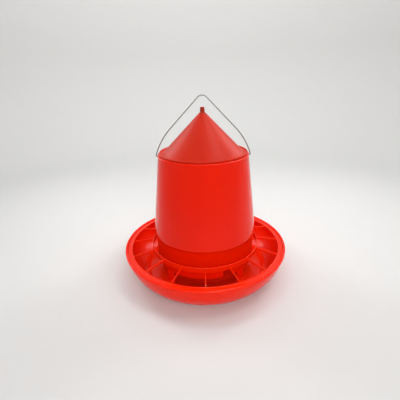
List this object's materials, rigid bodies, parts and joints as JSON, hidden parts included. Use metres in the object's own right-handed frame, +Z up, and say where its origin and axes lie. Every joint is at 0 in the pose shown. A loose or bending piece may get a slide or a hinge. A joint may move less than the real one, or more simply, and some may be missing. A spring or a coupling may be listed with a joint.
{
  "type": "gravity poultry feeder",
  "caption": "Gravity feeder for poultry: a round pan with a spoked feeding grille, a tapered hopper, a pointed lid and a wire hanging bail.",
  "frame": {"origin": "centre of the pan's base, on the floor", "axes": "+Z up along the hopper's axis, X along the bail's pivot line"},
  "size_m": [0.41, 0.41, 0.4297],
  "materials": {
    "pan_plastic": "glossy moulded polypropylene",
    "grille_plastic": "glossy moulded polypropylene",
    "hopper_plastic": "glossy moulded polypropylene",
    "lid_plastic": "satin moulded polypropylene",
    "bail_wire": "galvanised wire"
  },
  "bodies": {
    "pan": {"feed_pan": "pan_plastic", "feed_grille": "grille_plastic"},
    "hopper": {"hopper": "hopper_plastic"},
    "lid": {"lid": "lid_plastic"},
    "bail": {"bail": "bail_wire"}
  },
  "joints": [
    {"name": "hopper_twist", "type": "hinge", "parent": "pan", "child": "hopper", "pos_m": [0, 0, 0], "axis": [0, 0, 1], "range_deg": [0, 20]},
    {"name": "lid_draw", "type": "slide", "parent": "hopper", "child": "lid", "axis": [0, -0.9063, 0.4226], "range_m": [0, 0.24]},
    {"name": "bail_swing", "type": "hinge", "parent": "hopper", "child": "bail", "pos_m": [0, 0, 0.2945], "axis": [1, 0, 0], "range_deg": [-55, 55]}
  ]
}
